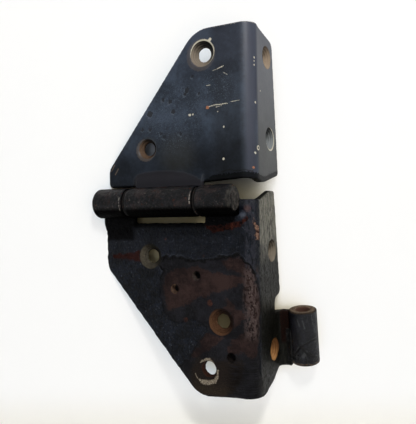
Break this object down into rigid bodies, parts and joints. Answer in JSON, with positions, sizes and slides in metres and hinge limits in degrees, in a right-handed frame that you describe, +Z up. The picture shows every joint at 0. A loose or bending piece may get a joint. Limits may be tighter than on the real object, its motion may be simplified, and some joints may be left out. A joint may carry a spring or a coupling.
{
  "type": "windshield hinge",
  "caption": "Two bent steel leaves with rolled knuckles on one pin, screw holes on face and side flanges, and a welded tube for a door hinge pin.",
  "frame": {"origin": "midpoint between the cowl leaf's two countersunk face screw holes, on the mounting plane behind the face plates", "axes": "+Z up with the hinge upright, +Y rearwards into the cowl, +X outboard along the pin"},
  "size_m": [0.1336, 0.0683, 0.2262],
  "materials": {
    "frame_paint": "satin blue-black paint with chips and scratches",
    "cowl_paint": "thick flaking black paint over brown primer and rust",
    "pin_steel": "rusty bare steel",
    "washer_steel": "rusty bare steel",
    "eye_paint": "worn black paint, bare at the ends",
    "weld_paint": "painted weld bead"
  },
  "bodies": {
    "cowl": {"cowl_leaf": "cowl_paint", "hinge_pin": "pin_steel", "thrust_washer_left": "washer_steel", "thrust_washer_right": "washer_steel", "door_eye": "eye_paint", "eye_weld_front": "weld_paint", "eye_weld_rear": "weld_paint"},
    "windshield": {"windshield_leaf": "frame_paint"}
  },
  "joints": [
    {"name": "windshield_fold", "type": "hinge", "parent": "cowl", "child": "windshield", "pos_m": [-0.011, -0.0112, 0.054], "axis": [1, 0, 0], "range_deg": [0, 105]}
  ]
}
